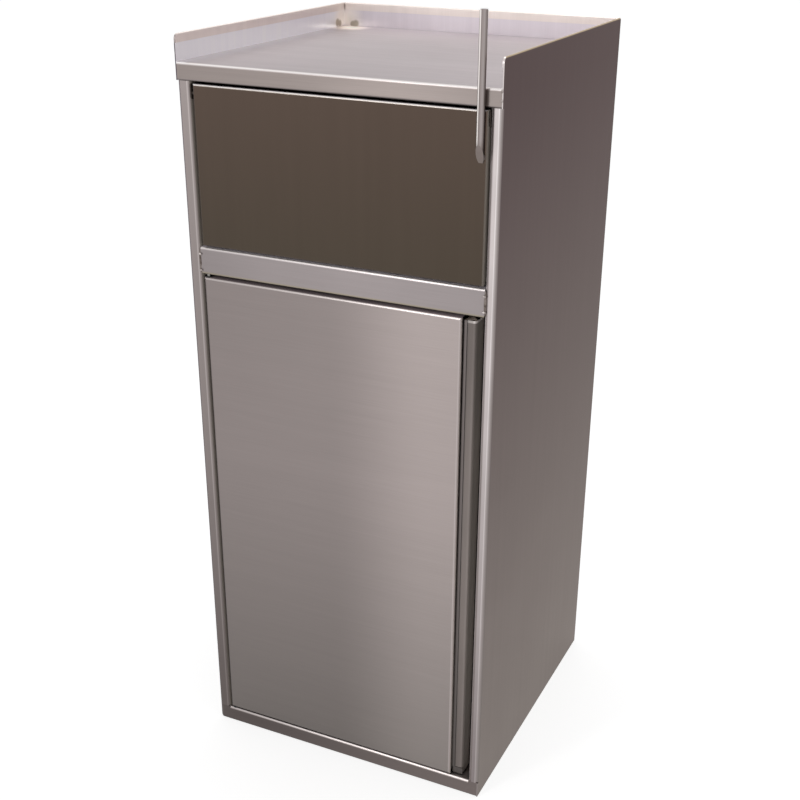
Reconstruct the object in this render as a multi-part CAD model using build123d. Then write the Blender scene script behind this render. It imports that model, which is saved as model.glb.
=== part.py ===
from build123d import *
import os

# Free-standing cabinet for a rubbish container, bent and welded from stainless sheet.
# X runs from the left side to the right side, Y from the front to the back, Z up.
# The origin is on the floor, at the middle of the cabinet's footprint.
cabinet_width = 508.0
cabinet_depth = 518.0
cabinet_height = 1200.0
sheet = 1.5
thin_sheet = 1.2

left = -cabinet_width / 2
right = cabinet_width / 2
front = -cabinet_depth / 2
back = cabinet_depth / 2
left_wall = left + sheet
right_wall = right - sheet
back_wall = back - sheet

# Front frame: two stiles bent out of the sides, a middle rail and a sill.
left_stile = 21.5
right_stile = 17.0
stile_bend = 6.0
stile_return = 28.0
sill_height = 28.0
left_foot = 6.5
foot_round = 8.0
foot_turn = 25.0
rail_bottom = 846.0
rail_top = 888.5
rail_shelf = 32.0
rail_lip = 12.0
rail_foot = 68.0
frame_bend = 4.0
frame_left = left + left_stile
frame_right = right - right_stile

# Tray top with its front apron, and the hemmed upstands around it.
top_height = 1161.0
apron_drop = 26.0
apron_front = front - sheet
apron_bottom = top_height - apron_drop
apron_lip = 4.5
lip_bend = 2.8
top_flange = 13.0
hem_width = 13.0
corner_round = 8.0

# Sheet edges that are turned in where they are out of sight.
floor_return = 16.0
back_flange = 15.0
back_flange_top = top_height - top_flange - 1.0
small_bend = 3.0
edge_setback = 6.0

# Push flap, hung on two stub pins just under its top edge.
flap_left = left + 27.0
flap_right = left + 487.5
flap_bottom = 891.5
flap_top = 1132.0
flap_proud = 1.9
flap_depth = 14.5
flap_back_inset = 1.0
flap_axis_y = front + 4.0
flap_axis_z = flap_top - 14.0
flap_pin_radius = 2.95
flap_hole_radius = 3.0
pin_end_gap = 0.1
flap_pin_inside = 8.0
collar_radius = 4.4
collar_length = 2.5
bracket_plate = sheet
bracket_low = flap_axis_z - 9.0
bracket_high = flap_top - 1.0
bracket_reach = 26.0
bracket_rivet_y = front + bracket_reach - 7.0
bracket_rivet_heights = (bracket_low + 5.0, bracket_high - 5.0)

# Round lever that opens the flap without touching it.
lever_radius = 5.5
lever_x = left + 479.8
lever_y = front - flap_proud - lever_radius
lever_bottom = 1062.5
lever_top = 1257.5
lever_bevel = 28.0
lever_point = 0.4

# Door, hung on two pivot pins at its left edge.
door_left = left + 24.5
door_face_right = left + 457.5
door_right = left + 476.5
door_bottom = 30.0
door_top = 841.2
door_depth = 40.0
door_bend = 4.0
grip_depth = 8.5
grip_floor_right = left + 463.0
fold_bend = 5.0
strip_overlap = 4.5
strip_bottom = 43.0
strip_top = door_top - 5.0
liner_inset = 0.5
hinge_x = left + 30.5
hinge_y = front + 6.0
hinge_pin_radius = 2.95
hinge_bore = 3.0
bush_radius = 4.4
bush_flange = 5.6
bush_length = 9.0
bush_collar = 0.9
washer_radius = 5.4
washer_play = 0.05
pin_head_radius = 4.2
pin_head = 2.0

# Magnetic catch under the middle rail.
catch_x = left + 420.0
catch_width = 46.0
catch_height = 20.0
catch_front = front + door_depth + 2.6
catch_back = front + door_depth + 24.0
magnet_front = front + door_depth + 1.5
magnet_width = 26.0
magnet_height = 8.0
magnet_z = rail_bottom - catch_height / 2
magnet_back = catch_back - 4.0
pole_plate = 1.2
screw_radius = 1.6
screw_head = 3.0
screw_edge = 5.0
catch_screw_places = (catch_x - catch_width / 2 + screw_edge, catch_x + catch_width / 2 - screw_edge)
catch_screw_y = (catch_front + catch_back) / 2
strike_width = 34.0
strike_height = 14.0
strike_z = rail_bottom - 13.0
strike_rivet_places = (catch_x - strike_width / 2 + 4.5, catch_x + strike_width / 2 - 4.5)

# Blind rivets of the pivot plates and of the strike plate.
rivet_radius = 1.6
rivet_tail = 2.4

# Loose plastic container that stands between three guides.
bin_centre_y = front + 275.0
bin_base = 330.0
bin_mouth = 386.0
bin_wall = 3.0
bin_bottom = sill_height
bin_top = 790.0
bin_corner = 40.0
bin_rim = 20.0
bin_rim_drop = 14.0
grip_slot_length = 110.0
grip_slot_width = 11.0
guide_leg = 20.0
guide_length = 300.0
guide_gap = 4.0


def span_box(x, y, z):
    """Box between a low and a high value on each axis."""
    size = [high - low for low, high in (x, y, z)]
    middle = [(high + low) / 2 for low, high in (x, y, z)]
    return Pos(*middle) * Box(*size)


def bent_section(points, radii, side, thickness=sheet):
    """Section of a bent sheet whose outer face follows the points."""
    outer = FilletPolyline(*points, radius=radii)
    outline = offset(outer, amount=thickness, side=side, closed=True)
    return make_face(outline.edges())


def upright(section, low, high):
    """Extrude a section drawn from above between two heights."""
    return Pos(0, 0, low) * extrude(section, amount=high - low, dir=(0, 0, 1))


def crosswise(section, low, high):
    """Extrude a section drawn from the side (Y, Z) between two X values."""
    drawn = Plane.YZ * section
    return Pos(low, 0, 0) * extrude(drawn, amount=high - low, dir=(1, 0, 0))


def rod_z(x, y, radius, low, high):
    """Upright round bar."""
    return Pos(x, y, (low + high) / 2) * Cylinder(radius, high - low)


def rod_x(y, z, radius, low, high):
    """Round bar lying across the cabinet."""
    return Pos((low + high) / 2, y, z) * Rot(0, 90, 0) * Cylinder(radius, high - low)


def rod_y(x, z, radius, low, high):
    """Round bar lying front to back."""
    return Pos(x, (low + high) / 2, z) * Rot(90, 0, 0) * Cylinder(radius, high - low)


def rounded_foot():
    """What is ground off the lower left corner: a rounding that runs inward at an angle."""
    reach = 30.0
    block = span_box((-stile_bend, foot_round), (-reach, reach), (-1, foot_round))
    block -= rod_y(foot_round, foot_round, foot_round, -reach - 1, reach + 1)
    turn = Rot(0, 0, foot_turn)
    bend_centre = Pos(left + stile_bend, front + stile_bend, 0)
    return bend_centre * turn * Pos(-stile_bend, 0, 0) * block


def side_panel(stile_width, foot=0):
    """Left side: wall, stile and stile return in one bent sheet, hemmed at the top.

    Beside the sill the bend goes on for the width of the foot, or the wall ends flat without one.
    """
    stile_edge = left + stile_width
    plan = bent_section(
        [(left, back), (left, front), (stile_edge, front), (stile_edge, front + stile_return)],
        [stile_bend, stile_bend],
        Side.LEFT,
    )
    hem_line = cabinet_height - sheet
    panel = upright(plan, sill_height, apron_bottom)
    if foot:
        corner_bend = bent_section([(left, back), (left, front), (left + foot, front)], [stile_bend], Side.LEFT)
        panel += upright(corner_bend, 0, sill_height)
        panel -= rounded_foot()
    else:
        panel += span_box((left, left_wall), (front, back), (0, sill_height))
    panel += span_box((left, left_wall), (apron_front, back), (apron_bottom, hem_line))
    hem_span = (apron_front, back - 2 * sheet - 0.2)
    hem_low = cabinet_height - hem_width
    panel += span_box((left_wall, left_wall + sheet), hem_span, (hem_low, hem_line))
    panel += rod_y(left_wall, hem_line, sheet, *hem_span)
    corner_y = apron_front + corner_round
    corner_z = cabinet_height - corner_round
    corner = span_box((left - 1, left + 9), (apron_front - 1, corner_y), (corner_z, cabinet_height + 1))
    panel -= corner - rod_x(corner_y, corner_z, corner_round, left - 2, left + 10)
    for z in bracket_rivet_heights:
        panel -= rod_x(bracket_rivet_y, z, rivet_radius, stile_edge - 3, stile_edge + 1)
    return panel


def back_panel():
    """Back sheet with flanges for the sides and a hem along its top."""
    flange_edge = back - back_flange
    plan = bent_section(
        [(left_wall, flange_edge), (left_wall, back), (right_wall, back), (right_wall, flange_edge)],
        [small_bend, small_bend],
        Side.RIGHT,
    )
    panel = upright(plan, sill_height + 1, back_flange_top)
    hem_line = cabinet_height - sheet
    flat = (left_wall, right_wall)
    panel += span_box(flat, (back_wall, back), (0, sill_height + 1))
    panel += span_box(flat, (back_wall, back), (back_flange_top, hem_line))
    hem_left = left_wall + sheet + 0.2
    hem_right = right_wall - sheet - 0.2
    cut = hem_width - sheet
    hem_shape = Polyline(
        (hem_left, hem_line),
        (hem_right, hem_line),
        (hem_right - cut, hem_line - cut),
        (hem_left + cut, hem_line - cut),
        close=True,
    )
    hem = extrude(Plane.XZ * make_face(hem_shape), amount=sheet, dir=(0, -1, 0))
    panel += Pos(0, back_wall, 0) * hem
    panel += rod_x(back_wall, hem_line, sheet, hem_left, hem_right)
    return panel


def top_sheet():
    """Tray top, its front apron and the flanges that are welded to the walls."""
    side_view = bent_section(
        [
            (back_wall, top_height - top_flange),
            (back_wall, top_height),
            (apron_front, top_height),
            (apron_front, apron_bottom),
            (apron_front + apron_lip, apron_bottom),
        ],
        [small_bend, frame_bend, lip_bend],
        Side.LEFT,
    )
    top = crosswise(side_view, left_wall, right_wall)
    flange_y = (front + edge_setback, back - 2 * edge_setback)
    flange_z = (top_height - top_flange, top_height)
    for wall, inner in ((left_wall, left_wall + sheet), (right_wall, right_wall - sheet)):
        top += span_box(sorted((wall, inner)), flange_y, flange_z)
    return top


def top_stiffener():
    """Hat channel under the middle of the tray top."""
    underside = top_height - sheet
    hat = bent_section(
        [
            (-32, underside - sheet),
            (-17, underside - sheet),
            (-12, underside - 20),
            (12, underside - 20),
            (17, underside - sheet),
            (32, underside - sheet),
        ],
        [2.2, small_bend, small_bend, 2.2],
        Side.LEFT,
    )
    return crosswise(hat, left + 26, right - 26)


def mid_rail():
    """Channel between the flap opening and the door opening."""
    side_view = bent_section(
        [
            (front + rail_shelf, rail_top - rail_lip),
            (front + rail_shelf, rail_top),
            (front, rail_top),
            (front, rail_bottom),
            (front + rail_foot, rail_bottom),
        ],
        [small_bend, frame_bend, 2.5],
        Side.LEFT,
    )
    rail = crosswise(side_view, frame_left, frame_right)
    rail -= rod_z(hinge_x, hinge_y, hinge_pin_radius, rail_bottom - 1, rail_bottom + 3)
    for x in catch_screw_places:
        rail -= rod_z(x, catch_screw_y, screw_radius, rail_bottom - 1, rail_bottom + 3)
    return rail


def bottom_pan():
    """Floor sheet with the sill at its front and flanges that stand on the ground."""
    side_view = bent_section(
        [
            (front + floor_return, 0),
            (front, 0),
            (front, sill_height),
            (back_wall, sill_height),
            (back_wall, 0),
            (back_wall - floor_return, 0),
        ],
        [2.5, frame_bend, small_bend, 2.5],
        Side.RIGHT,
    )
    pan = crosswise(side_view, left_wall, right_wall)
    flange_y = (front + edge_setback, back - edge_setback)
    sides = (
        (left_wall, left_wall + sheet, frame_left),
        (right_wall, right_wall - sheet, frame_right),
    )
    for wall, inner, stile_edge in sides:
        pan += span_box(sorted((wall, inner)), flange_y, (0, sill_height))
        under_stile = sorted((wall, stile_edge))
        pan += span_box(under_stile, (front, front + sheet), (sill_height - frame_bend, sill_height))
    pan -= rod_z(hinge_x, hinge_y, hinge_pin_radius, sill_height - 3, sill_height + 1)
    foot_y = (front - 1, front + stile_bend)
    pan -= span_box((left, left + left_foot), foot_y, (-1, sill_height + 1))
    return pan - rounded_foot()


def flap_bracket(wall, inward):
    """Pivot plate fixed to a stile return, in the gap beside the flap."""
    near, far = sorted((wall, wall + inward * bracket_plate))
    plate = span_box((near, far), (front + 0.5, front + bracket_reach), (bracket_low, bracket_high))
    plate = fillet(plate.edges().filter_by(Axis.X), 3)
    plate -= rod_x(flap_axis_y, flap_axis_z, flap_hole_radius, near - 1, far + 1)
    for z in bracket_rivet_heights:
        plate -= rod_x(bracket_rivet_y, z, rivet_radius, near - 1, far + 1)
    return plate


def bracket_rivets():
    """Blind rivets: two in each pivot plate, with domed heads."""
    rivets = []
    for wall, inward in ((frame_left, 1), (frame_right, -1)):
        face = wall + inward * bracket_plate
        blind = wall - inward * sheet
        tail = blind - inward * rivet_tail
        for z in bracket_rivet_heights:
            rivet = rod_x(bracket_rivet_y, z, rivet_radius, *sorted((blind, face)))
            rivet += rod_x(bracket_rivet_y, z, rivet_tail, *sorted((tail, blind)))
            rivet += Pos(face, bracket_rivet_y, z) * Rot(0, 90 * inward, 0) * rivet_dome()
            rivets.append(rivet)
    return rivets


def rivet_dome():
    """Low domed head, 6 mm across."""
    head_radius = 3.0
    height = 0.9
    ball_radius = (head_radius**2 + height**2) / (2 * height)
    ball = Pos(0, 0, height - ball_radius) * Sphere(ball_radius)
    return ball & span_box((-4, 4), (-4, 4), (0, height))


def flap_skin():
    """Front pan of the flap."""
    face = front - flap_proud
    pan = span_box((flap_left, flap_right), (face, face + flap_depth), (flap_bottom, flap_top))
    pan = fillet(pan.faces().sort_by(Axis.Y)[0].edges(), small_bend)
    pan = offset(pan, amount=-sheet, openings=pan.faces().sort_by(Axis.Y)[-1])
    pan -= rod_x(flap_axis_y, flap_axis_z, flap_pin_radius, flap_left - 1, flap_left + 3)
    pan -= rod_x(flap_axis_y, flap_axis_z, flap_pin_radius, flap_right - 3, flap_right + 1)
    return pan


def flap_back():
    """Thin sheet that closes the back of the flap."""
    low = front - flap_proud + flap_depth
    plate = span_box(
        (flap_left + flap_back_inset, flap_right - flap_back_inset),
        (low, low + thin_sheet),
        (flap_bottom + flap_back_inset, flap_top - flap_back_inset),
    )
    return fillet(plate.edges().filter_by(Axis.Y), 2)


def flap_pin(edge, wall, inward):
    """Stub pin whose collar is welded inside the flap's side wall."""
    outer = wall + inward * pin_end_gap
    inner = edge + inward * flap_pin_inside
    pin = rod_x(flap_axis_y, flap_axis_z, flap_pin_radius, *sorted((outer, inner)))
    collar_start = edge + inward * sheet
    collar_end = collar_start + inward * collar_length
    collar = rod_x(flap_axis_y, flap_axis_z, collar_radius, *sorted((collar_start, collar_end)))
    return pin + collar - flap_skin()


def flap_lever():
    """Round bar welded upright on the flap, ground to a bevel at its lower end."""
    lever = rod_z(lever_x, lever_y, lever_radius, lever_bottom, lever_top)
    lever = chamfer(lever.faces().sort_by(Axis.Z)[-1].edges(), 0.6)
    face = front - flap_proud
    outside = lever_y - lever_radius
    bevel = Polyline(
        (outside - 1, lever_bottom - 1),
        (face - lever_point, lever_bottom - 1),
        (outside - 1, lever_bottom + lever_bevel),
        close=True,
    )
    return lever - crosswise(make_face(bevel), lever_x - 8, lever_x + 8)


def door_skin():
    """Front pan of the door, with the recessed floor of the finger pull."""
    pan = span_box(
        (door_left, door_face_right),
        (front, front + door_depth - sheet),
        (door_bottom, door_top),
    )
    pan = fillet(pan.faces().sort_by(Axis.Y)[0].edges(), door_bend)
    pan = offset(pan, amount=-sheet, openings=pan.faces().sort_by(Axis.Y)[-1])
    grip_back = front + grip_depth
    inner_wall = (door_face_right - sheet - 1, door_face_right + 1)
    pan -= span_box(inner_wall, (grip_back, front + door_depth), (strip_bottom - 2, strip_top + 0.5))
    floor_y = (grip_back - sheet, grip_back)
    pan += span_box((door_face_right - sheet, grip_floor_right), floor_y, (strip_bottom, strip_top))
    tab_z = (door_bottom, strip_bottom - 1)
    pan += span_box((door_face_right - 0.5, door_right), (grip_back, grip_back + sheet), tab_z)
    foot_y = (grip_back, front + door_depth - sheet)
    pan += span_box((door_face_right - 0.5, door_right), foot_y, (door_bottom, door_bottom + sheet))
    for edge in (door_bottom, door_top):
        pan -= rod_z(hinge_x, hinge_y, bush_radius, edge - 5, edge + 5)
    return pan


def door_liner():
    """Back sheet of the door, folded forward into the strip beside the finger pull."""
    rear = front + door_depth
    plan = bent_section(
        [
            (grip_floor_right - strip_overlap, front + grip_depth),
            (door_right, front + grip_depth),
            (door_right, rear),
            (door_left, rear),
        ],
        [fold_bend, small_bend],
        Side.LEFT,
    )
    liner = upright(plan, door_bottom + liner_inset, door_top - liner_inset)
    fold_x = (door_face_right, door_right + 1)
    fold_y = (front, rear - sheet)
    strip_y = (front, front + grip_depth + sheet)
    liner -= span_box(fold_x, fold_y, (door_bottom, door_bottom + sheet))
    liner -= span_box(fold_x, strip_y, (door_bottom, strip_bottom))
    liner -= span_box(fold_x, fold_y, (strip_top, door_top))
    cap_x = (grip_floor_right - strip_overlap, door_right)
    cap_y = (front + grip_depth, rear - small_bend)
    for low in (strip_bottom, strip_top - sheet):
        cap = span_box(cap_x, cap_y, (low, low + sheet))
        corner = cap.edges().filter_by(Axis.Z).group_by(Axis.X)[-1].sort_by(Axis.Y)[0]
        liner += fillet(corner, fold_bend)
    for x in strike_rivet_places:
        liner -= rod_y(x, strike_z, rivet_radius, rear - 3, rear + 1)
    return liner


def door_stiffener():
    """Hat channel between the door's two sheets."""
    near = front + sheet
    far = front + door_depth - sheet
    lip = far - thin_sheet
    hat = bent_section(
        [(-38, lip), (-20, lip), (-14, near), (14, near), (20, lip), (38, lip)],
        [2.0, 2.5, 2.5, 2.0],
        Side.LEFT,
        thin_sheet,
    )
    middle = (door_left + door_face_right) / 2
    return Pos(middle, 0, 0) * upright(hat, door_bottom + 40, door_top - 40)


def hinge_pin(low, high, head_low):
    """Fixed pivot pin with a round head that is welded to its sheet."""
    pin = rod_z(hinge_x, hinge_y, hinge_pin_radius, low, high)
    return pin + rod_z(hinge_x, hinge_y, pin_head_radius, head_low, head_low + pin_head)


def hinge_pin_top():
    flange_top = rail_bottom + sheet
    return hinge_pin(door_top - bush_length, flange_top, flange_top) - mid_rail()


def hinge_pin_bottom():
    underside = sill_height - sheet
    return hinge_pin(underside, door_bottom + bush_length, underside - pin_head) - bottom_pan()


def door_bush(low, high, collar_low):
    """Nylon bush in the door's flange, with a collar that keeps the sheets apart."""
    bush = rod_z(hinge_x, hinge_y, bush_radius, low, high)
    bush += rod_z(hinge_x, hinge_y, bush_flange, collar_low, collar_low + bush_collar)
    return bush - rod_z(hinge_x, hinge_y, hinge_bore, low - 2, high + 2)


def pivot_washer():
    """Washer that carries the door on the sill."""
    gap_top = door_bottom - bush_collar - washer_play
    ring = rod_z(hinge_x, hinge_y, washer_radius, sill_height, gap_top)
    return ring - rod_z(hinge_x, hinge_y, hinge_bore, sill_height - 1, gap_top + 1)


def magnet_span(height, play=0.0):
    """Box of the given height around the magnet's middle."""
    half = magnet_width / 2 + play
    reach = height / 2 + play
    return span_box(
        (catch_x - half, catch_x + half),
        (magnet_front, magnet_back + play),
        (magnet_z - reach, magnet_z + reach),
    )


def catch_body():
    """Moulded housing of the magnetic catch, open at the front for the magnet."""
    half = catch_width / 2
    low = rail_bottom - catch_height
    body = span_box((catch_x - half, catch_x + half), (catch_front, catch_back), (low, rail_bottom))
    body = fillet(body.edges().filter_by(Axis.Z), 2)
    body -= magnet_span(magnet_height, 0.1)
    for x in catch_screw_places:
        body -= rod_z(x, catch_screw_y, screw_radius, low - 1, rail_bottom + 1)
    return body


def catch_magnet():
    """Bar magnet, set back a little between its pole plates."""
    bar = magnet_span(magnet_height - 2 * pole_plate)
    return bar - span_box((left, right), (magnet_front - 1, magnet_front + 1), (0, cabinet_height))


def catch_poles():
    """Two steel pole plates, above and below the magnet."""
    core = magnet_span(magnet_height - 2 * pole_plate)
    return [solid for solid in (magnet_span(magnet_height) - core).solids()]


def catch_screws():
    """Two pan-head screws up into the rail."""
    low = rail_bottom - catch_height
    screws = []
    for x in catch_screw_places:
        head = rod_z(x, catch_screw_y, screw_head, low - 2, low)
        head = fillet(head.faces().sort_by(Axis.Z)[0].edges(), 1.2)
        screws.append(head + rod_z(x, catch_screw_y, screw_radius, low, rail_bottom + 5))
    return screws


def strike_plate():
    """Steel plate on the back of the door that the magnet holds."""
    rear = front + door_depth
    half = strike_width / 2
    reach = strike_height / 2
    plate = span_box(
        (catch_x - half, catch_x + half),
        (rear, rear + thin_sheet),
        (strike_z - reach, strike_z + reach),
    )
    plate = fillet(plate.edges().filter_by(Axis.Y), 3)
    for x in strike_rivet_places:
        plate -= rod_y(x, strike_z, rivet_radius, rear - 1, rear + 3)
    return plate


def strike_rivets():
    """Countersunk blind rivets, flush with the strike plate's face."""
    rear = front + door_depth
    inside = rear - sheet
    rivets = []
    for x in strike_rivet_places:
        rivet = rod_y(x, strike_z, rivet_radius, inside, rear + thin_sheet)
        rivets.append(rivet + rod_y(x, strike_z, rivet_tail, inside - rivet_tail, inside))
    return rivets


def rounded_slab(size, corner, z):
    return Plane.XY.offset(z) * RectangleRounded(size, size, corner)


def waste_container():
    """Tapered square container with a folded rim and a slot for the hand on each side."""
    outer = loft([rounded_slab(bin_base, bin_corner, bin_bottom), rounded_slab(bin_mouth, bin_corner, bin_top)])
    floor = bin_bottom + bin_wall
    inside_base = bin_base - 2 * bin_wall
    inside_mouth = bin_mouth - 2 * bin_wall
    inside_corner = bin_corner - bin_wall
    inner_floor = rounded_slab(inside_base, inside_corner, floor)
    inner = loft([inner_floor, rounded_slab(inside_mouth, inside_corner, bin_top + 0.01)])
    rim_size = bin_mouth + 2 * bin_rim
    rim_corner = bin_corner + bin_rim
    brim = extrude(rounded_slab(rim_size, rim_corner, bin_top - bin_wall), amount=bin_wall)
    skirt = extrude(rounded_slab(rim_size, rim_corner, bin_top - bin_rim_drop), amount=bin_rim_drop)
    hollow_size = rim_size - 2 * bin_wall
    hollow = rounded_slab(hollow_size, rim_corner - bin_wall, bin_top - bin_rim_drop - 1)
    skirt -= extrude(hollow, amount=bin_rim_drop + 2)
    body = outer + brim + skirt - inner
    for side in (-1, 1):
        slot_x = side * (bin_mouth / 2 + bin_rim / 2 - 1)
        slot = Pos(slot_x, 0, bin_top) * Box(grip_slot_width, grip_slot_length, 4 * bin_wall)
        body -= fillet(slot.edges().filter_by(Axis.Z), grip_slot_width / 2 - 0.5)
    return Pos(0, bin_centre_y, 0) * body


def bin_guide(length):
    """Angle along X that keeps the container in its place."""
    section = bent_section(
        [(guide_leg, sill_height), (0, sill_height), (0, sill_height + guide_leg)],
        [2.5],
        Side.RIGHT,
    )
    return crosswise(section, -length / 2, length / 2)


def side_guide(side):
    turned = Rot(0, 0, -90 * side) * bin_guide(guide_length)
    return Pos(side * (bin_base / 2 + guide_gap), bin_centre_y, 0) * turned


def rear_guide():
    return Pos(0, bin_centre_y + bin_base / 2 + guide_gap, 0) * bin_guide(guide_length)


def write(node, shape):
    """One file for each node; a list of shapes becomes one group of solids."""
    if isinstance(shape, list):
        shape = Compound(children=[Part() + item for item in shape])
    export_step(shape, f"parts/{node}.step")


def main():
    os.makedirs("parts", exist_ok=True)
    write("side_panel_left", side_panel(left_stile, left_foot))
    write("side_panel_right", mirror(side_panel(right_stile), about=Plane.YZ))
    write("back_panel", back_panel())
    write("top_sheet", top_sheet())
    write("top_stiffener", top_stiffener())
    write("mid_rail", mid_rail())
    write("bottom_pan", bottom_pan())
    write("flap_bracket_left", flap_bracket(frame_left, 1))
    write("flap_bracket_right", flap_bracket(frame_right, -1))
    write("bracket_rivets", bracket_rivets())
    write("flap_skin", flap_skin())
    write("flap_back", flap_back())
    write("flap_pin_left", flap_pin(flap_left, frame_left, 1))
    write("flap_pin_right", flap_pin(flap_right, frame_right, -1))
    write("flap_lever", flap_lever())
    write("door_skin", door_skin())
    write("door_liner", door_liner())
    write("door_stiffener", door_stiffener())
    write("hinge_pin_top", hinge_pin_top())
    write("hinge_pin_bottom", hinge_pin_bottom())
    write("door_bush_top", door_bush(door_top - bush_length, door_top, door_top))
    write("door_bush_bottom", door_bush(door_bottom, door_bottom + bush_length, door_bottom - bush_collar))
    write("pivot_washer", pivot_washer())
    write("catch_body", catch_body())
    write("catch_magnet", catch_magnet())
    write("catch_poles", catch_poles())
    write("catch_screws", catch_screws())
    write("strike_plate", strike_plate())
    write("strike_rivets", strike_rivets())
    write("waste_container", waste_container())
    write("bin_guide_left", side_guide(-1))
    write("bin_guide_right", side_guide(1))
    write("bin_guide_rear", rear_guide())


main()
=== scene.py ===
import bpy
import bmesh
import math
import random
from mathutils import Matrix, Vector


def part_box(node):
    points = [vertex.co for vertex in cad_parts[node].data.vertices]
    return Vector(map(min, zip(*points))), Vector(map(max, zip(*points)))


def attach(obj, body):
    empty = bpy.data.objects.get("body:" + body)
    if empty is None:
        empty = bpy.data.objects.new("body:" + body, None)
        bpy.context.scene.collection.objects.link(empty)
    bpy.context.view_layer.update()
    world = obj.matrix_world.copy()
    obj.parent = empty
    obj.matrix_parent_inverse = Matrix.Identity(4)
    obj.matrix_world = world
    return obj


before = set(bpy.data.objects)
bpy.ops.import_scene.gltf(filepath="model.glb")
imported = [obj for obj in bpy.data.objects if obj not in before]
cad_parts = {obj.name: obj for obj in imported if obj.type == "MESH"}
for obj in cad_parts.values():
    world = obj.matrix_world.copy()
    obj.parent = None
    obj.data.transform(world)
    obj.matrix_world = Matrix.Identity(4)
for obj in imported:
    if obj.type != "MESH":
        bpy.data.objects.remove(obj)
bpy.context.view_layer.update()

# main lines of the cabinet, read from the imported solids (metres)
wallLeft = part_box("side_panel_left")[0].x
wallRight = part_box("side_panel_right")[1].x
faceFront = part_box("side_panel_left")[0].y  # foremost line of the side panels, 1.5 mm ahead of the rail
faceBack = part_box("back_panel")[1].y
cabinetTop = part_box("side_panel_left")[1].z
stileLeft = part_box("mid_rail")[0].x
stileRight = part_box("mid_rail")[1].x
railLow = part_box("mid_rail")[0].z
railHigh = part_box("mid_rail")[1].z
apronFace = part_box("top_sheet")[0].y
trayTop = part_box("top_sheet")[1].z
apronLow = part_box("top_sheet")[0].z
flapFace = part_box("flap_skin")[0].y
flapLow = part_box("flap_skin")[0].z
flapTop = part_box("flap_skin")[1].z
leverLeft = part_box("flap_lever")[0].x
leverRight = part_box("flap_lever")[1].x
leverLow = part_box("flap_lever")[0].z
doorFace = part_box("door_skin")[0].y
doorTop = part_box("door_skin")[1].z
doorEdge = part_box("door_skin")[1].x - 0.019  # where the door's front face ends at its right
stripTop = doorTop - 0.005
hemLow = cabinetTop - 0.013
sheet = 0.0015


def toLinear(hexColour):
    channels = [int(hexColour[i:i + 2], 16) / 255 for i in (1, 3, 5)]
    return tuple(c / 12.92 if c <= 0.04045 else ((c + 0.055) / 1.055) ** 2.4 for c in channels) + (1.0,)


def addNode(tree, kind, settings=None, links=None):
    node = tree.nodes.new(kind)
    for key, value in (settings or {}).items():
        if isinstance(key, int) or key in node.inputs.keys():
            node.inputs[key].default_value = value
        else:
            setattr(node, key, value)
    for key, socket in (links or {}).items():
        tree.links.new(socket, node.inputs[key])
    return node


def newMaterial(name):
    material = bpy.data.materials.new(name)
    material.use_nodes = True
    tree = material.node_tree
    tree.nodes.clear()
    output = addNode(tree, "ShaderNodeOutputMaterial")
    return material, tree, output


def perMillimetre(along, across, grain):
    # scale of a noise whose grains are this long and this wide, in millimetres
    scale = [1000 / across] * 3
    scale["XYZ".index(grain)] = 1000 / along
    return scale


# the camera, fitted to the photograph's straight edges
cameraValues = {
    "place": (0.8407, -1.7974, 1.4208),
    "yaw": 0.43237,
    "pitch": -0.43402,
    "roll": 0.00965,
    "lens": 1241.01 / 800 * 36,
    "shift": (-0.01735, 0.05077),
}


def makeCamera(values):
    yaw, pitch, roll = values["yaw"], values["pitch"], values["roll"]
    ahead = Vector((-math.sin(yaw) * math.cos(pitch), math.cos(yaw) * math.cos(pitch), math.sin(pitch)))
    level = Vector((math.cos(yaw), math.sin(yaw), 0))
    upward = level.cross(ahead)
    side = level * math.cos(roll) + upward * math.sin(roll)
    up = upward * math.cos(roll) - level * math.sin(roll)
    data = bpy.data.cameras.new("camera")
    data.sensor_width = 36
    data.lens = values["lens"]
    data.shift_x, data.shift_y = values["shift"]
    data.clip_end = 50
    camera = bpy.data.objects.new("camera", data)
    camera.matrix_world = Matrix((side, up, -ahead)).transposed().to_4x4()
    camera.location = values["place"]
    bpy.context.collection.objects.link(camera)
    bpy.context.scene.camera = camera


makeCamera(cameraValues)
print("camera placed")

# Stainless steel 304, brushed in one direction. The eye gets a satin sheen that is drawn out across the
# grain, fine streaks along it, and slow bands and smudges where the sheets were handled. Painted light:
# the base colour is chosen by which way a face turns and how high it is, so a bend carries a painted
# highlight brighter than the flat beside it, and fades, patches and spots paint light and shade on top.
steelValues = {
    "grain": "Z",
    "facing": (1, 0, 0),  # tones go by how far the surface faces this way
    "tones": [(-1, "#8C8482"), (1, "#8C8482")],  # from facing away to facing that way
    "lowTones": None,  # tones near the floor, where they differ from those at the top
    "lowRange": (0.05, 1.15),  # heights over which the low tones turn into the others
    "fade": [],  # axis, start and end in metres, brightness at both
    "patches": [],  # low and high Z, the way the patch faces, tone, roughness or None
    "spots": [],  # centre, inner and outer radius in millimetres, the way the spot faces, tone
    "edgeTint": (1, 1, 1, 1),
    "streak": (110, 0.9),  # real grain is about 0.1 mm wide, drawn coarser so that it shows
    "band": (500, 12),
    "smudge": 120,
    "streakTone": 0.035,
    "bandTone": 0.03,
    "smudgeTone": 0.01,
    "roughness": (0.27, 0.36),
    "streakRoughness": 0.06,
    "anisotropy": 0.75,
    "grooveDepth": 0.000008,
    "softEdge": 0.0004,  # half the width over which a patch starts and ends
}
noiseSpan = {"From Min": 0.3, "From Max": 0.7}  # a noise mostly stays within this


def facingMask(tree, normal, way):
    # 1 where the surface faces this way, 0 where it doesn't
    turn = addNode(tree, "ShaderNodeVectorMath", {"operation": "DOT_PRODUCT", 1: way}, {0: normal})
    turned = addNode(tree, "ShaderNodeMapRange", {"From Min": 0.6, "From Max": 0.95},
                     {"Value": turn.outputs["Value"]})
    return turned.outputs[0]


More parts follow.
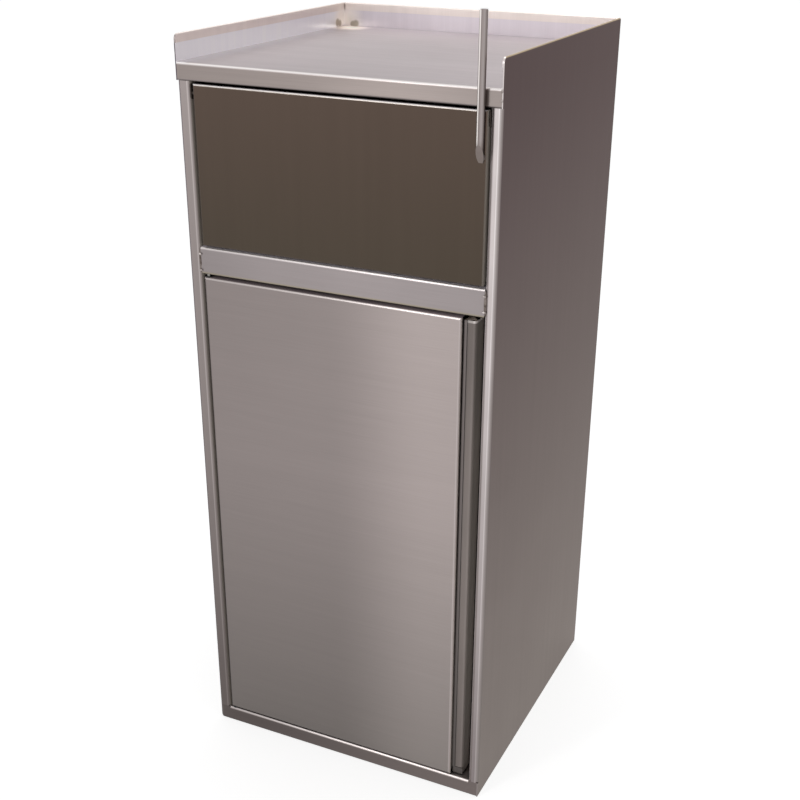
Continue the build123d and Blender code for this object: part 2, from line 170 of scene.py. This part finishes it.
def paintOver(tree, colour, tone, shape, facing):
    # the tone laid over the colour where both masks are 1
    mask = addNode(tree, "ShaderNodeMath", {"operation": "MULTIPLY"}, {0: shape, 1: facing})
    painted = addNode(tree, "ShaderNodeMix", {"data_type": "RGBA", 7: toLinear(tone)},
                      {"Factor": mask.outputs[0], 6: colour})
    return painted.outputs[2], mask.outputs[0]


def brushedSteel(name, values):
    v = dict(steelValues, **values)
    material, tree, output = newMaterial(name)
    place = addNode(tree, "ShaderNodeTexCoord")
    streakPlace = addNode(tree, "ShaderNodeMapping", {"Scale": perMillimetre(*v["streak"], v["grain"])},
                          {"Vector": place.outputs["Object"]})
    streak = addNode(tree, "ShaderNodeTexNoise", {"Scale": 1, "Detail": 3, "Roughness": 0.65},
                     {"Vector": streakPlace.outputs[0]})
    bandPlace = addNode(tree, "ShaderNodeMapping", {"Scale": perMillimetre(*v["band"], v["grain"])},
                        {"Vector": place.outputs["Object"]})
    band = addNode(tree, "ShaderNodeTexNoise", {"Scale": 1, "Detail": 2}, {"Vector": bandPlace.outputs[0]})
    smudge = addNode(tree, "ShaderNodeTexNoise",
                     {"Scale": 1000 / v["smudge"], "Detail": 4, "Distortion": 0.4},
                     {"Vector": place.outputs["Object"]})

    # painted light and shade: the base colour is picked from the tones by which way the face turns, and from
    # the low tones near the floor
    facing = addNode(tree, "ShaderNodeVectorMath", {"operation": "DOT_PRODUCT", 1: v["facing"]},
                     {0: place.outputs["Normal"]})
    facingRange = addNode(tree, "ShaderNodeMapRange", {"From Min": -1, "From Max": 1},
                          {"Value": facing.outputs["Value"]})
    ramps = []
    for tones in (v["tones"], v["lowTones"] or v["tones"]):
        ramp = addNode(tree, "ShaderNodeValToRGB", links={"Fac": facingRange.outputs[0]})
        stops = ramp.color_ramp.elements
        while len(stops) < len(tones):
            stops.new(0.5)
        for stop, (turn, tone) in zip(stops, tones):
            stop.position = (turn + 1) / 2
            stop.color = toLinear(tone)
        ramps.append(ramp.outputs[0])
    parts = addNode(tree, "ShaderNodeSeparateXYZ", links={0: place.outputs["Object"]})
    height = addNode(tree, "ShaderNodeMapRange", {"From Min": v["lowRange"][0], "From Max": v["lowRange"][1]},
                     {"Value": parts.outputs["Z"]})
    byHeight = addNode(tree, "ShaderNodeMix", {"data_type": "RGBA"},
                       {"Factor": height.outputs[0], 6: ramps[1], 7: ramps[0]})
    baseColour = byHeight.outputs[2]
    masks = []
    soft = v["softEdge"]
    # patches lay tones over the colour, among them painted highlights and painted gap tones
    for low, high, way, tone, rough in v["patches"]:
        above = addNode(tree, "ShaderNodeMapRange", {"From Min": low - soft, "From Max": low + soft},
                        {"Value": parts.outputs["Z"]})
        below = addNode(tree, "ShaderNodeMapRange",
                        {"From Min": high - soft, "From Max": high + soft, "To Min": 1, "To Max": 0},
                        {"Value": parts.outputs["Z"]})
        between = addNode(tree, "ShaderNodeMath", {"operation": "MULTIPLY"},
                          {0: above.outputs[0], 1: below.outputs[0]})
        facingPatch = facingMask(tree, place.outputs["Normal"], way)
        baseColour, mask = paintOver(tree, baseColour, tone, between.outputs[0], facingPatch)
        if rough:
            masks.append((mask, rough))
    # spots lay tones over the colour: painted pools of light, and real weld burns
    for centre, inner, outer, way, tone in v["spots"]:
        away = addNode(tree, "ShaderNodeVectorMath", {"operation": "DISTANCE", 1: centre},
                       {0: place.outputs["Object"]})
        near = addNode(tree, "ShaderNodeMapRange",
                       {"From Min": inner / 1000, "From Max": outer / 1000, "To Min": 1, "To Max": 0,
                        "interpolation_type": "SMOOTHSTEP"},
                       {"Value": away.outputs["Value"]})
        facingSpot = facingMask(tree, place.outputs["Normal"], way)
        baseColour = paintOver(tree, baseColour, tone, near.outputs[0], facingSpot)[0]

    factors = []
    for noise, strength in ((streak, v["streakTone"]), (band, v["bandTone"]), (smudge, v["smudgeTone"])):
        swing = dict(noiseSpan, **{"To Min": 1 - strength, "To Max": 1 + strength})
        factors.append(addNode(tree, "ShaderNodeMapRange", swing, {"Value": noise.outputs["Fac"]}))
    # painted light: fades brighten or darken the colour along an axis
    for axis, start, end, startValue, endValue in v["fade"]:
        factors.append(addNode(tree, "ShaderNodeMapRange",
                               {"From Min": start, "From Max": end, "To Min": startValue, "To Max": endValue,
                                "interpolation_type": "SMOOTHSTEP"},
                               {"Value": parts.outputs[axis]}))
    brightness = factors[0]
    for factor in factors[1:]:
        brightness = addNode(tree, "ShaderNodeMath", {"operation": "MULTIPLY"},
                             {0: brightness.outputs[0], 1: factor.outputs[0]})
    colour = addNode(tree, "ShaderNodeVectorMath", {"operation": "SCALE"},
                     {0: baseColour, "Scale": brightness.outputs[0]})

    smooth, dull = v["roughness"]
    roughBase = addNode(tree, "ShaderNodeMapRange", dict(noiseSpan, **{"To Min": smooth, "To Max": dull}),
                        {"Value": smudge.outputs["Fac"]})
    roughness = addNode(tree, "ShaderNodeMath", {"operation": "MULTIPLY_ADD", 1: v["streakRoughness"]},
                        {0: streak.outputs["Fac"], 2: roughBase.outputs[0]})
    for mask, rough in masks:
        roughness = addNode(tree, "ShaderNodeMix", {3: rough}, {"Factor": mask, 2: roughness.outputs[0]})
    grooves = addNode(tree, "ShaderNodeBump", {"Strength": 0.5, "Distance": v["grooveDepth"]},
                      {"Height": streak.outputs["Fac"]})

    # the sheen is drawn out across the grain, whichever way the sheet is bent
    along = [1.0 if axis == v["grain"] else 0.0 for axis in "XYZ"]
    across = addNode(tree, "ShaderNodeVectorMath", {"operation": "CROSS_PRODUCT", 1: along},
                     {0: place.outputs["Normal"]})
    tangent = addNode(tree, "ShaderNodeVectorTransform",
                      {"vector_type": "VECTOR", "convert_from": "OBJECT", "convert_to": "WORLD"},
                      {"Vector": across.outputs[0]})
    steel = addNode(tree, "ShaderNodeBsdfPrincipled",
                    {"Metallic": 1, "Anisotropic": v["anisotropy"], "Specular Tint": v["edgeTint"]},
                    {"Base Color": colour.outputs[0], "Roughness": roughness.outputs[0],
                     "Normal": grooves.outputs[0], "Tangent": tangent.outputs[0]})
    tree.links.new(steel.outputs[0], output.inputs["Surface"])
    return material


# Zinc-plated and turned steel fixings: bright and smooth, a little cloudy, with faint turning marks.
zincValues = {"tone": "#85827E", "cloudTone": "#A7A49E", "cloud": 4, "turning": 0.8,
              "roughness": (0.22, 0.42), "markDepth": 0.00002}


def platedSteel(name, values):
    material, tree, output = newMaterial(name)
    place = addNode(tree, "ShaderNodeTexCoord")
    cloud = addNode(tree, "ShaderNodeTexNoise", {"Scale": 1000 / values["cloud"], "Detail": 3},
                    {"Vector": place.outputs["Object"]})
    turning = addNode(tree, "ShaderNodeTexNoise", {"Scale": 1000 / values["turning"], "Detail": 1},
                      {"Vector": place.outputs["Object"]})
    colour = addNode(tree, "ShaderNodeMix",
                     {"data_type": "RGBA", 6: toLinear(values["tone"]), 7: toLinear(values["cloudTone"])},
                     {"Factor": cloud.outputs["Fac"]})
    smooth, dull = values["roughness"]
    roughness = addNode(tree, "ShaderNodeMapRange", {"To Min": smooth, "To Max": dull},
                        {"Value": cloud.outputs["Fac"]})
    marks = addNode(tree, "ShaderNodeBump", {"Strength": 0.3, "Distance": values["markDepth"]},
                    {"Height": turning.outputs["Fac"]})
    steel = addNode(tree, "ShaderNodeBsdfPrincipled", {"Metallic": 1},
                    {"Base Color": colour.outputs[2], "Roughness": roughness.outputs[0],
                     "Normal": marks.outputs[0]})
    tree.links.new(steel.outputs[0], output.inputs["Surface"])
    return material


# Moulded nylon, polyethylene and pressed ferrite: low sheen, a fine eroded grain from the mould (its width is
# in millimetres), pale scuffs where they are handled.
mouldValues = {"scuff": 45, "roughSwing": 0.08, "grainDepth": 0.0001, "ior": 1.5}
nylonValues = {"tone": "#262627", "scuffTone": "#3A3A3C", "grain": 0.8, "roughness": 0.45}
binValues = {"tone": "#45474A", "scuffTone": "#6A6C6F", "grain": 1.2, "roughness": 0.5}
ferriteValues = {"tone": "#383634", "scuffTone": "#4A4744", "grain": 0.5, "roughness": 0.6}


def mouldedPlastic(name, values):
    v = dict(mouldValues, **values)
    material, tree, output = newMaterial(name)
    place = addNode(tree, "ShaderNodeTexCoord")
    grain = addNode(tree, "ShaderNodeTexNoise", {"Scale": 1000 / v["grain"], "Detail": 3},
                    {"Vector": place.outputs["Object"]})
    scuff = addNode(tree, "ShaderNodeTexNoise", {"Scale": 1000 / v["scuff"], "Detail": 5, "Roughness": 0.7},
                    {"Vector": place.outputs["Object"]})
    worn = addNode(tree, "ShaderNodeMapRange", {"From Min": 0.58, "From Max": 0.75, "To Max": 0.5},
                   {"Value": scuff.outputs["Fac"]})
    colour = addNode(tree, "ShaderNodeMix",
                     {"data_type": "RGBA", 6: toLinear(v["tone"]), 7: toLinear(v["scuffTone"])},
                     {"Factor": worn.outputs[0]})
    smooth, dull = v["roughness"] - v["roughSwing"], v["roughness"] + v["roughSwing"]
    rough = addNode(tree, "ShaderNodeMapRange", {"To Min": smooth, "To Max": dull},
                    {"Value": scuff.outputs["Fac"]})
    skin = addNode(tree, "ShaderNodeBump", {"Strength": 0.4, "Distance": v["grainDepth"]},
                   {"Height": grain.outputs["Fac"]})
    plastic = addNode(tree, "ShaderNodeBsdfPrincipled", {"IOR": v["ior"]},
                      {"Base Color": colour.outputs[2], "Roughness": rough.outputs[0],
                       "Normal": skin.outputs[0]})
    tree.links.new(plastic.outputs[0], output.inputs["Surface"])
    return material


# Weld metal: small ripples, duller than the sheet. The tacks were brushed and are pale, the seams kept their
# brown heat colour.
weldValues = {"ripple": 1.5, "heat": 5, "stops": (0.35, 0.65), "roughness": (0.3, 0.55),
              "rippleDepth": 0.0003}
beadValues = {"tones": ("#8F8582", "#D6CECB")}
seamValues = {"tones": ("#5A504B", "#877D78")}


def weldMetal(name, values):
    v = dict(weldValues, **values)
    material, tree, output = newMaterial(name)
    place = addNode(tree, "ShaderNodeTexCoord")
    ripple = addNode(tree, "ShaderNodeTexNoise", {"Scale": 1000 / v["ripple"], "Detail": 2},
                     {"Vector": place.outputs["Object"]})
    heat = addNode(tree, "ShaderNodeTexNoise", {"Scale": 1000 / v["heat"], "Detail": 2},
                   {"Vector": place.outputs["Object"]})
    tint = addNode(tree, "ShaderNodeValToRGB", links={"Fac": heat.outputs["Fac"]})
    for stop, turn, tone in zip(tint.color_ramp.elements, v["stops"], v["tones"]):
        stop.position = turn
        stop.color = toLinear(tone)
    bumps = addNode(tree, "ShaderNodeBump", {"Strength": 0.5, "Distance": v["rippleDepth"]},
                    {"Height": ripple.outputs["Fac"]})
    smooth, dull = v["roughness"]
    rough = addNode(tree, "ShaderNodeMapRange", {"To Min": smooth, "To Max": dull},
                    {"Value": heat.outputs["Fac"]})
    weld = addNode(tree, "ShaderNodeBsdfPrincipled", {"Metallic": 1},
                   {"Base Color": tint.outputs[0], "Roughness": rough.outputs[0],
                    "Normal": bumps.outputs[0]})
    tree.links.new(weld.outputs[0], output.inputs["Surface"])
    return material


# tones are picked at each turn of a bend, read from -1 (facing away) to 1 (facing that way); besides the
# sheet's own colour they hold painted highlights on bends and painted shade on faces turned from the light
hemTone = "#F2E8E2"  # the folded edge along the rim, pale and a little warm
paintedGapLightTone = "#989088"  # painted light: cut edges and turned-in faces inside the gaps get this pale brownish tone so they show light bounced into the gap instead of going black; they are also dull
paintedGapShadeTone = "#B9B2B8"  # painted shade: faces that look up in a narrow gap get this pale purple-grey, which renders as the dim purple shade of the gap instead of black
gapRough = 0.85
toLeft, toRight, toFront, upwards = (-1, 0, 0), (1, 0, 0), (0, -1, 0), (0, 0, 1)

# door front: painted light makes it brighter towards its right and paints highlights on its bends; painted
# shade makes it dimmer near the floor and darkens the grip floor beside its edge; its returns and top edge in
# the gaps carry painted gap tones and are left dull
doorSteel = brushedSteel("stainless_brushed_across_door", {
    "grain": "X", "facing": (1, 0, 1), "roughness": (0.31, 0.35), "bandTone": 0.012, "grooveDepth": 0.000004,
    "fade": [("X", -0.02, 0.16, 1.0, 1.46), ("X", doorEdge - 0.0005, doorEdge + 0.0002, 1.0, 0.42)],
    "tones": [(-1, "#5E5654"), (-0.3, "#7A716F"), (0.02, "#8A817F"), (0.2, "#A9A19F"), (0.6, "#B7AFAD"),
              (0.97, "#5A504C")],
    "lowTones": [(-1, "#5E5654"), (-0.3, "#6A6462"), (0.02, "#716B68"), (0.2, "#8F8987"), (0.6, "#9A9492"),
                 (0.97, "#5A504C")],
    "lowRange": (0.03, 0.55),
    "patches": [(0, apronLow, (0.85, -0.55, 0), "#837A78", None), (0, apronLow, toLeft, paintedGapLightTone, gapRough),
                (0, apronLow, toRight, "#B4ACA6", gapRough),
                (doorTop - 0.0062, doorTop + 0.0038, upwards, "#716669", gapRough)],
})

# back sheet of the door: its folded edge is the strip beside the finger pull, dull grey; painted light
# brightens it deeper into the recess and paints a highlight on its top corner, painted shade dims it near its
# top and near the floor, and its faces in the gap carry painted gap tones
stripSteel = brushedSteel("stainless_brushed_across_strip", {
    "facing": (1, 0, 0), "roughness": (0.42, 0.5),
    "tones": [(-1, "#8A807C"), (0.02, "#8A817D"), (0.45, "#948B87"), (0.8, "#8E8480"), (1, "#A89A90")],
    "fade": [("Z", 0.60, 0.80, 1.08, 0.88), ("Z", 0.03, 0.35, 0.84, 1.0),
             ("Y", doorFace + 0.014, doorFace + 0.034, 0.88, 1.6)],
    "patches": [(0, apronLow, toRight, "#9A928C", gapRough),
                (stripTop - 0.0037, stripTop + 0.0003, (0.8, -0.8, 0), "#F0E8E4", None),
                (stripTop - 0.0037, stripTop + 0.0003, upwards, "#C4B4A8", gapRough)],
})

# middle rail: a painted highlight along its upper bend over a faintly yellow lower edge, painted shade
# towards its left end, and a painted gap tone on its top face
railSteel = brushedSteel("stainless_brushed_across_rail", {
    "grain": "X", "facing": (0, 0, 1), "fade": [("X", -0.235, -0.08, 0.93, 1.0)],
    "tones": [(-1, "#6E6250"), (-0.15, "#9A907C"), (0, "#938B8B"), (0.25, "#B9B0B0"), (0.7, "#E6E0DE"),
              (1, "#A79E9D")],
    "patches": [(railLow, railLow + 0.0035, toFront, "#958C80", None),
                (railHigh - 0.0002, railHigh + 0.001, upwards, paintedGapShadeTone, gapRough)],
})

# tray top and apron: pale, with slow bands; painted light makes it brightest at the left, paints a highlight
# on the front bend and a pool of light in the rear left corner, and painted shade dims it towards the front
traySteel = brushedSteel("stainless_brushed_across_tray", {
    "grain": "X", "facing": (0, 0, 1), "smudge": 130, "bandTone": 0.05, "roughness": (0.3, 0.36),
    "fade": [("X", -0.24, 0.02, 1.15, 1.0), ("Y", -0.255, -0.12, 0.92, 0.98)],
    "tones": [(-1, "#5E5654"), (-0.1, "#8E8583"), (0.02, "#918783"), (0.25, "#B9B0AE"), (0.6, "#F2EEEC"),
              (0.85, "#D6CFCE"), (1, "#AAA0A2")],
    "spots": [((wallLeft + 0.030, faceBack - 0.030, trayTop), 4, 45, upwards, "#FFF4EC")],
})

# floor sheet and sill: dark tones painted for the shade it sits in, painted light brightening it towards the
# right, and a painted highlight on its upper bend
sillSteel = brushedSteel("stainless_brushed_across_sill", {
    "grain": "X", "facing": (0, 0, 1),
    "fade": [("X", -0.22, 0.25, 0.90, 1.5)],
    "tones": [(-1, "#4A4442"), (0.02, "#5E5654"), (0.3, "#9F9694"), (0.75, "#C8C0BE"), (1, "#8A8280")],
})

# left side and its stile: painted light and shade make the outer face dark and the inner face near white,
# paint a highlight on the stile's inner bend and dim it near the floor; the upstand carries a painted pool of
# light around two brown burns left by welding near its rear corner, and the stile's turned-in face a painted
# gap tone
leftSteel = brushedSteel("stainless_brushed_upright_left", {
    "tones": [(-1, "#5D5252"), (-0.96, "#4E4450"), (-0.5, "#5A5058"), (-0.2, "#A39997"), (0.05, "#A39997"),
              (0.14, "#C6BDBB"), (0.45, "#9F9593"), (0.9, "#8F8583"), (1, "#FAFBFF")],
    "lowTones": [(-1, "#807A77"), (-0.96, "#4E4848"), (-0.5, "#4E4848"), (-0.2, "#655D5B"), (0.05, "#655D5B"),
                 (0.14, "#7E7674"), (0.45, "#6A6260"), (0.9, "#5A5250"), (1, "#8C8482")],
    "patches": [(hemLow, cabinetTop, (1, 0, 1), hemTone, None), (apronLow, hemLow, toFront, "#463C48", None),
                (0, apronLow, toRight, paintedGapLightTone, gapRough)],
    "streakTone": 0.02, "bandTone": 0.02,
    "spots": [((wallLeft + sheet, faceBack - 0.012, trayTop + 0.014), 4, 34, toRight, "#FFF8F2"),
              ((wallLeft + sheet, faceBack - 0.0265, trayTop + 0.0065), 4, 9, toRight, "#BEB4A8"),
              ((wallLeft + sheet, faceBack - 0.0180, trayTop + 0.0045), 3, 8, toRight, "#BEB4A8")],
})

# right side and its stile: painted shade makes it dark at the top and lighter lower down, painted highlights
# run along the stile's bend, its turned-in faces carry a painted gap tone, and a straw line runs along the
# rim; the edge tint keeps the flat from going pale where it is seen at a slant
rightSteel = brushedSteel("stainless_brushed_upright_right", {
    "roughness": (0.30, 0.33), "edgeTint": (0.80, 0.73, 0.71, 1), "smudge": 150, "smudgeTone": 0.07,
    "tones": [(-1, "#E8DEE0"), (-0.3, "#8A807E"), (-0.05, "#D8CFCE"), (0.05, "#D8CFCE"), (0.12, "#F6F0EF"),
              (0.25, "#CCC3C2"), (0.6, "#A39A98"), (0.88, "#857B7A"), (1, "#4F4344")],
    "lowTones": [(-1, "#BEB4B6"), (-0.3, "#6F6664"), (-0.05, "#898080"), (0.05, "#898080"), (0.12, "#AEA6A5"),
                 (0.25, "#9A9190"), (0.6, "#8C8482"), (0.88, "#7E7875"), (1, "#7C7773")],
    "patches": [(hemLow, cabinetTop, (-1, 0, 1), hemTone, None), (0, apronLow, toLeft, paintedGapLightTone, gapRough),
                (cabinetTop - 0.0016, cabinetTop + 0.001, toRight, "#B8A88C", None),
                (cabinetTop - 0.0016, cabinetTop + 0.001, (0.7, 0, 0.7), "#B8A88C", None)],
})

# rear sheet: painted light makes its upstand's inner face pale and lays the same painted pool of light there
# around brown weld burns; painted shade dims it near the floor
backSteel = brushedSteel("stainless_brushed_upright_back", {
    "facing": (0, -1, 0),
    "tones": [(-1, "#6E6462"), (0, "#9A9290"), (1, "#E6DFE5")],
    "lowTones": [(-1, "#7C7673"), (0, "#8A8280"), (1, "#8C8482")],
    "patches": [(hemLow, cabinetTop, (0, -1, 1), hemTone, None)],
    "streakTone": 0.02, "bandTone": 0.02,
    "spots": [((wallLeft + 0.012, faceBack - sheet, trayTop + 0.014), 4, 34, toFront, "#FFF8F2"),
              ((wallLeft + 0.0250, faceBack - sheet, trayTop + 0.0040), 3, 8, toFront, "#B8B0A4"),
              ((wallLeft + 0.0190, faceBack - sheet, trayTop + 0.0030), 3, 7, toFront, "#B8B0A4")],
})

# flap: brushed finer; its even brown-grey is painted shade for the dark room it mirrors, under a painted
# highlight on its upper bend, a little darker towards its foot, with painted gap tones on its edges and top
# face
flapSteel = brushedSteel("stainless_brushed_upright_flap", {
    "facing": (0, 0, 1), "roughness": (0.2, 0.24), "streakTone": 0.02, "bandTone": 0.02,
    "tones": [(-1, "#4A3F39"), (-0.3, "#57493F"), (0.02, "#5A4D45"), (0.25, "#A39A94"), (0.55, "#EFEBE8"),
              (1, "#C9C2BE")],
    "lowTones": [(-1, "#4A3F39"), (-0.3, "#4C433B"), (0.02, "#50473E"), (0.25, "#A39A94"), (0.55, "#EFEBE8"),
                 (1, "#C9C2BE")],
    "lowRange": (flapLow + 0.0085, flapTop - 0.012),
    "patches": [(0, apronLow, toLeft, paintedGapLightTone, gapRough), (0, apronLow, toRight, paintedGapLightTone, gapRough),
                (flapTop - 0.012, flapTop + 0.008, upwards, paintedGapShadeTone, gapRough)],
})

# sheets inside, in mill finish with little drawn-out sheen; the pivot plates and pins are painted dark as
# shade, since they sit in the shadow of the gaps, and dull
innerSteel = brushedSteel("stainless_mill_finish_inside", {"grain": "X", "anisotropy": 0.3})
bracketShadeSteel = brushedSteel("stainless_bracket_painted_shade", {
    "anisotropy": 0.3, "roughness": (0.6, 0.7), "tones": [(-1, "#4A423E"), (1, "#4A423E")],
})

# drawn round bar of the lever: a painted highlight as a thin white line down its left, a painted dark line
# beside it, grey beyond, darker brown towards its bevelled lower end
leverSteel = brushedSteel("stainless_drawn_bar", {
    "anisotropy": 0.4, "streak": (60, 1.5),
    "tones": [(-1, "#7C736F"), (-0.75, "#8C8482"), (-0.62, "#FFFAF6"), (-0.38, "#F4ECE8"), (-0.15, "#6B6260"),
              (0.12, "#978D8B"), (0.6, "#A39A98"), (1, "#6E6562")],
    "lowTones": [(-1, "#5E5450"), (-0.75, "#6E6460"), (-0.5, "#7E7470"), (0.1, "#7A706C"), (0.6, "#7E746E"),
                 (1, "#5A504C")],
    "lowRange": (leverLow + 0.0155, leverLow + 0.0315),
})

zincSteel = platedSteel("zinc_plated_fixing", zincValues)
nylonBlack = mouldedPlastic("nylon_black_moulded", nylonValues)
binPlastic = mouldedPlastic("polyethylene_grey_moulded", binValues)
ferrite = mouldedPlastic("ferrite_sintered", ferriteValues)
weldBead = weldMetal("weld_bead_brushed_bright", beadValues)
weldSeam = weldMetal("weld_seam_heat_tinted", seamValues)

# what each solid is made of; the fixings that are not listed are plated
finishes = {
    "side_panel_left": leftSteel,
    "side_panel_right": rightSteel,
    "back_panel": backSteel,
    "top_sheet": traySteel,
    "mid_rail": railSteel,
    "bottom_pan": sillSteel,
    "door_skin": doorSteel,
    "door_liner": stripSteel,
    "flap_skin": flapSteel,
    "flap_back": flapSteel,
    "flap_lever": leverSteel,
    "waste_container": binPlastic,
    "catch_body": nylonBlack,
    "pivot_washer": nylonBlack,
    "door_bush_top": nylonBlack,
    "door_bush_bottom": nylonBlack,
    "catch_magnet": ferrite,
}
for node in ("flap_bracket_left", "flap_bracket_right", "bracket_rivets", "flap_pin_left", "flap_pin_right"):
    finishes[node] = bracketShadeSteel
for node in ("top_stiffener", "door_stiffener", "bin_guide_left", "bin_guide_right", "bin_guide_rear"):
    finishes[node] = innerSteel
for name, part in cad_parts.items():
    part.data.materials.clear()
    part.data.materials.append(finishes.get(name, zincSteel))
print("finishes on", len(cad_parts), "solids")


def linkPiece(name, mesh, material, body):
    piece = bpy.data.objects.new(name, mesh)
    bpy.context.collection.objects.link(piece)
    mesh.materials.append(material)
    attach(piece, body)
    return piece


# weld tacks and seams: flattened, slightly uneven domes and ridges
railMiddle = (railLow + railHigh) / 2
tackFace = faceFront + 0.0004
seamFace = faceFront + 0.0022
tackValues = {
    "seed": 4,
    "uneven": 0.06,
    "pieces": [
        # place, half sizes along X, Y and Z, body, material
        ((wallRight - 0.0016, apronFace - 0.0002, trayTop - 0.0035), (0.0014, 0.0009, 0.0026),
         "cabinet", weldBead),
        ((wallRight - 0.0016, apronFace - 0.0002, trayTop - 0.0160), (0.0014, 0.0009, 0.0022),
         "cabinet", weldBead),
        ((stileRight, tackFace, railHigh - 0.0108), (0.0030, 0.0012, 0.0020), "cabinet", weldBead),
        ((stileRight, tackFace, railHigh - 0.0338), (0.0030, 0.0012, 0.0018), "cabinet", weldBead),
        ((stileLeft, tackFace, railHigh - 0.0110), (0.0026, 0.0010, 0.0018), "cabinet", weldBead),
        ((stileLeft, tackFace, railHigh - 0.0365), (0.0026, 0.0010, 0.0018), "cabinet", weldBead),
        ((stileRight + 0.0010, seamFace, railMiddle), (0.0022, 0.0015, 0.0190), "cabinet", weldSeam),
        ((stileLeft - 0.0010, seamFace, railMiddle), (0.0022, 0.0015, 0.0190), "cabinet", weldSeam),
        ((leverLeft + 0.0006, flapFace - 0.0003, leverLow + 0.0110), (0.0022, 0.0014, 0.0034),
         "flap", weldSeam),
        ((leverLeft + 0.0030, flapFace - 0.0003, leverLow + 0.0040), (0.0022, 0.0014, 0.0028),
         "flap", weldSeam),
        ((leverRight - 0.0006, flapFace - 0.0003, leverLow + 0.0080), (0.0022, 0.0014, 0.0032),
         "flap", weldSeam),
    ],
}


def makeTacks(values):
    chance = random.Random(values["seed"])
    uneven = values["uneven"]
    for count, (place, size, body, material) in enumerate(values["pieces"]):
        shape = bmesh.new()
        bmesh.ops.create_icosphere(shape, subdivisions=3, radius=1)
        for vertex in shape.verts:
            vertex.co *= 1 + chance.uniform(-uneven, uneven)
            vertex.co = Vector(place) + Vector([c * s for c, s in zip(vertex.co, size)])
        for polygon in shape.faces:
            polygon.smooth = True
        mesh = bpy.data.meshes.new(f"weld_tack_{count}")
        shape.to_mesh(mesh)
        shape.free()
        linkPiece(f"weld_tack_{count}", mesh, material, body)


makeTacks(tackValues)
print("weld tacks and seams made:", len(tackValues["pieces"]))


def seenMask(tree):
    # 1 for what is seen straight on, mirrored or through a clear piece, 0 for the light it gives
    rays = addNode(tree, "ShaderNodeLightPath")
    seen = addNode(tree, "ShaderNodeMath", {"operation": "MAXIMUM"},
                   {0: rays.outputs["Is Camera Ray"], 1: rays.outputs["Is Glossy Ray"]})
    seenThrough = addNode(tree, "ShaderNodeMath", {"operation": "MAXIMUM"},
                          {0: seen.outputs[0], 1: rays.outputs["Is Transmission Ray"]})
    return seenThrough.outputs[0]


# floor, white to the eye and to reflections, with the shadow kept
floorValues = {"size": 30, "ownLight": 0.70, "colour": "#C8C8C8"}


def makeFloor(values):
    half = values["size"] / 2
    mesh = bpy.data.meshes.new("floor")
    corners = [(-half, -half, 0), (half, -half, 0), (half, half, 0), (-half, half, 0)]
    mesh.from_pydata(corners, [], [(0, 1, 2, 3)])
    floor = bpy.data.objects.new("floor", mesh)
    bpy.context.collection.objects.link(floor)
    material, tree, output = newMaterial("floor_white_paper")
    strength = addNode(tree, "ShaderNodeMath", {"operation": "MULTIPLY", 1: values["ownLight"]},
                       {0: seenMask(tree)})
    paper = addNode(tree, "ShaderNodeBsdfDiffuse", {"Color": toLinear(values["colour"])})
    glow = addNode(tree, "ShaderNodeEmission", {"Color": (1, 1, 1, 1)}, {"Strength": strength.outputs[0]})
    both = addNode(tree, "ShaderNodeAddShader", links={0: paper.outputs[0], 1: glow.outputs[0]})
    tree.links.new(both.outputs[0], output.inputs["Surface"])
    mesh.materials.append(material)


makeFloor(floorValues)

worldValues = {"fill": 0.55, "seen": 1.0}


def makeWorld(values):
    world = bpy.data.worlds.new("world")
    bpy.context.scene.world = world
    world.use_nodes = True
    tree = world.node_tree
    tree.nodes.clear()
    output = addNode(tree, "ShaderNodeOutputWorld")
    strength = addNode(tree, "ShaderNodeMapRange", {"To Min": values["fill"], "To Max": values["seen"]},
                       {"Value": seenMask(tree)})
    sky = addNode(tree, "ShaderNodeBackground", {"Color": (1, 1, 1, 1)}, {"Strength": strength.outputs[0]})
    tree.links.new(sky.outputs[0], output.inputs["Surface"])


makeWorld(worldValues)

# soft lamps: place, point aimed at, size in metres, watts
lampValues = {
    "key": ((-0.92, -2.45, 1.75), (0.10, -0.26, 0.70), (0.35, 1.20), 9),
    "top": ((0.20, 0.60, 3.00), (0.0, 0.0, 1.17), (1.2, 1.2), 12),
}


def makeLamps(values):
    for name, (place, aim, size, watts) in values.items():
        data = bpy.data.lights.new(f"lamp_{name}", "AREA")
        data.shape = "RECTANGLE"
        data.size, data.size_y = size
        data.energy = watts
        lamp = bpy.data.objects.new(f"lamp_{name}", data)
        lamp.location = place
        lamp.rotation_mode = "QUATERNION"
        lamp.rotation_quaternion = (Vector(aim) - Vector(place)).to_track_quat("-Z", "Y")
        bpy.context.collection.objects.link(lamp)


makeLamps(lampValues)
bpy.context.scene.view_settings.view_transform = "Standard"
print("floor, world and lamps made")
